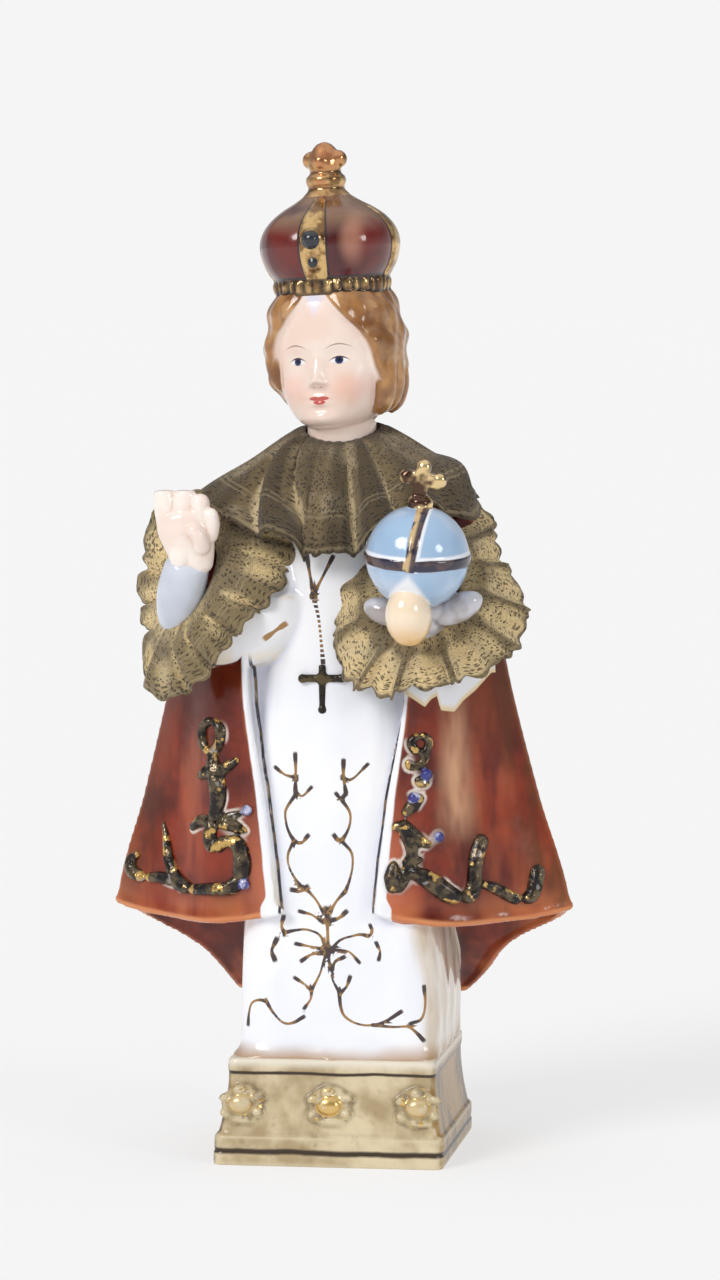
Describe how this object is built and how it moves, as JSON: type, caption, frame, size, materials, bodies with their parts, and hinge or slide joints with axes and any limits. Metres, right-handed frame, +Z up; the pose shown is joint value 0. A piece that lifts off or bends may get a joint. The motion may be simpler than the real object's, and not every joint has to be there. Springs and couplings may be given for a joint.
{
  "type": "crowned child figurine",
  "caption": "Glazed figurine of a crowned child in gown and cloak holding an orb, on a square base, with gathered lace at collar and sleeves.",
  "frame": {"origin": "middle of the base's flat underside", "axes": "+Z up along the figure, the front faces -Y and the figure's left hand with the orb is towards +X"},
  "size_m": [0.0922, 0.0581, 0.1999],
  "materials": {
    "glazed_porcelain": "glossy hand-painted glaze with worn gilding",
    "lace": "matt metallic-thread net lace, tarnished olive gold"
  },
  "bodies": {
    "root": {"porcelain_figure": "glazed_porcelain", "lace_collar": "lace", "right_sleeve_lace": "lace", "left_sleeve_lace": "lace"}
  },
  "joints": []
}
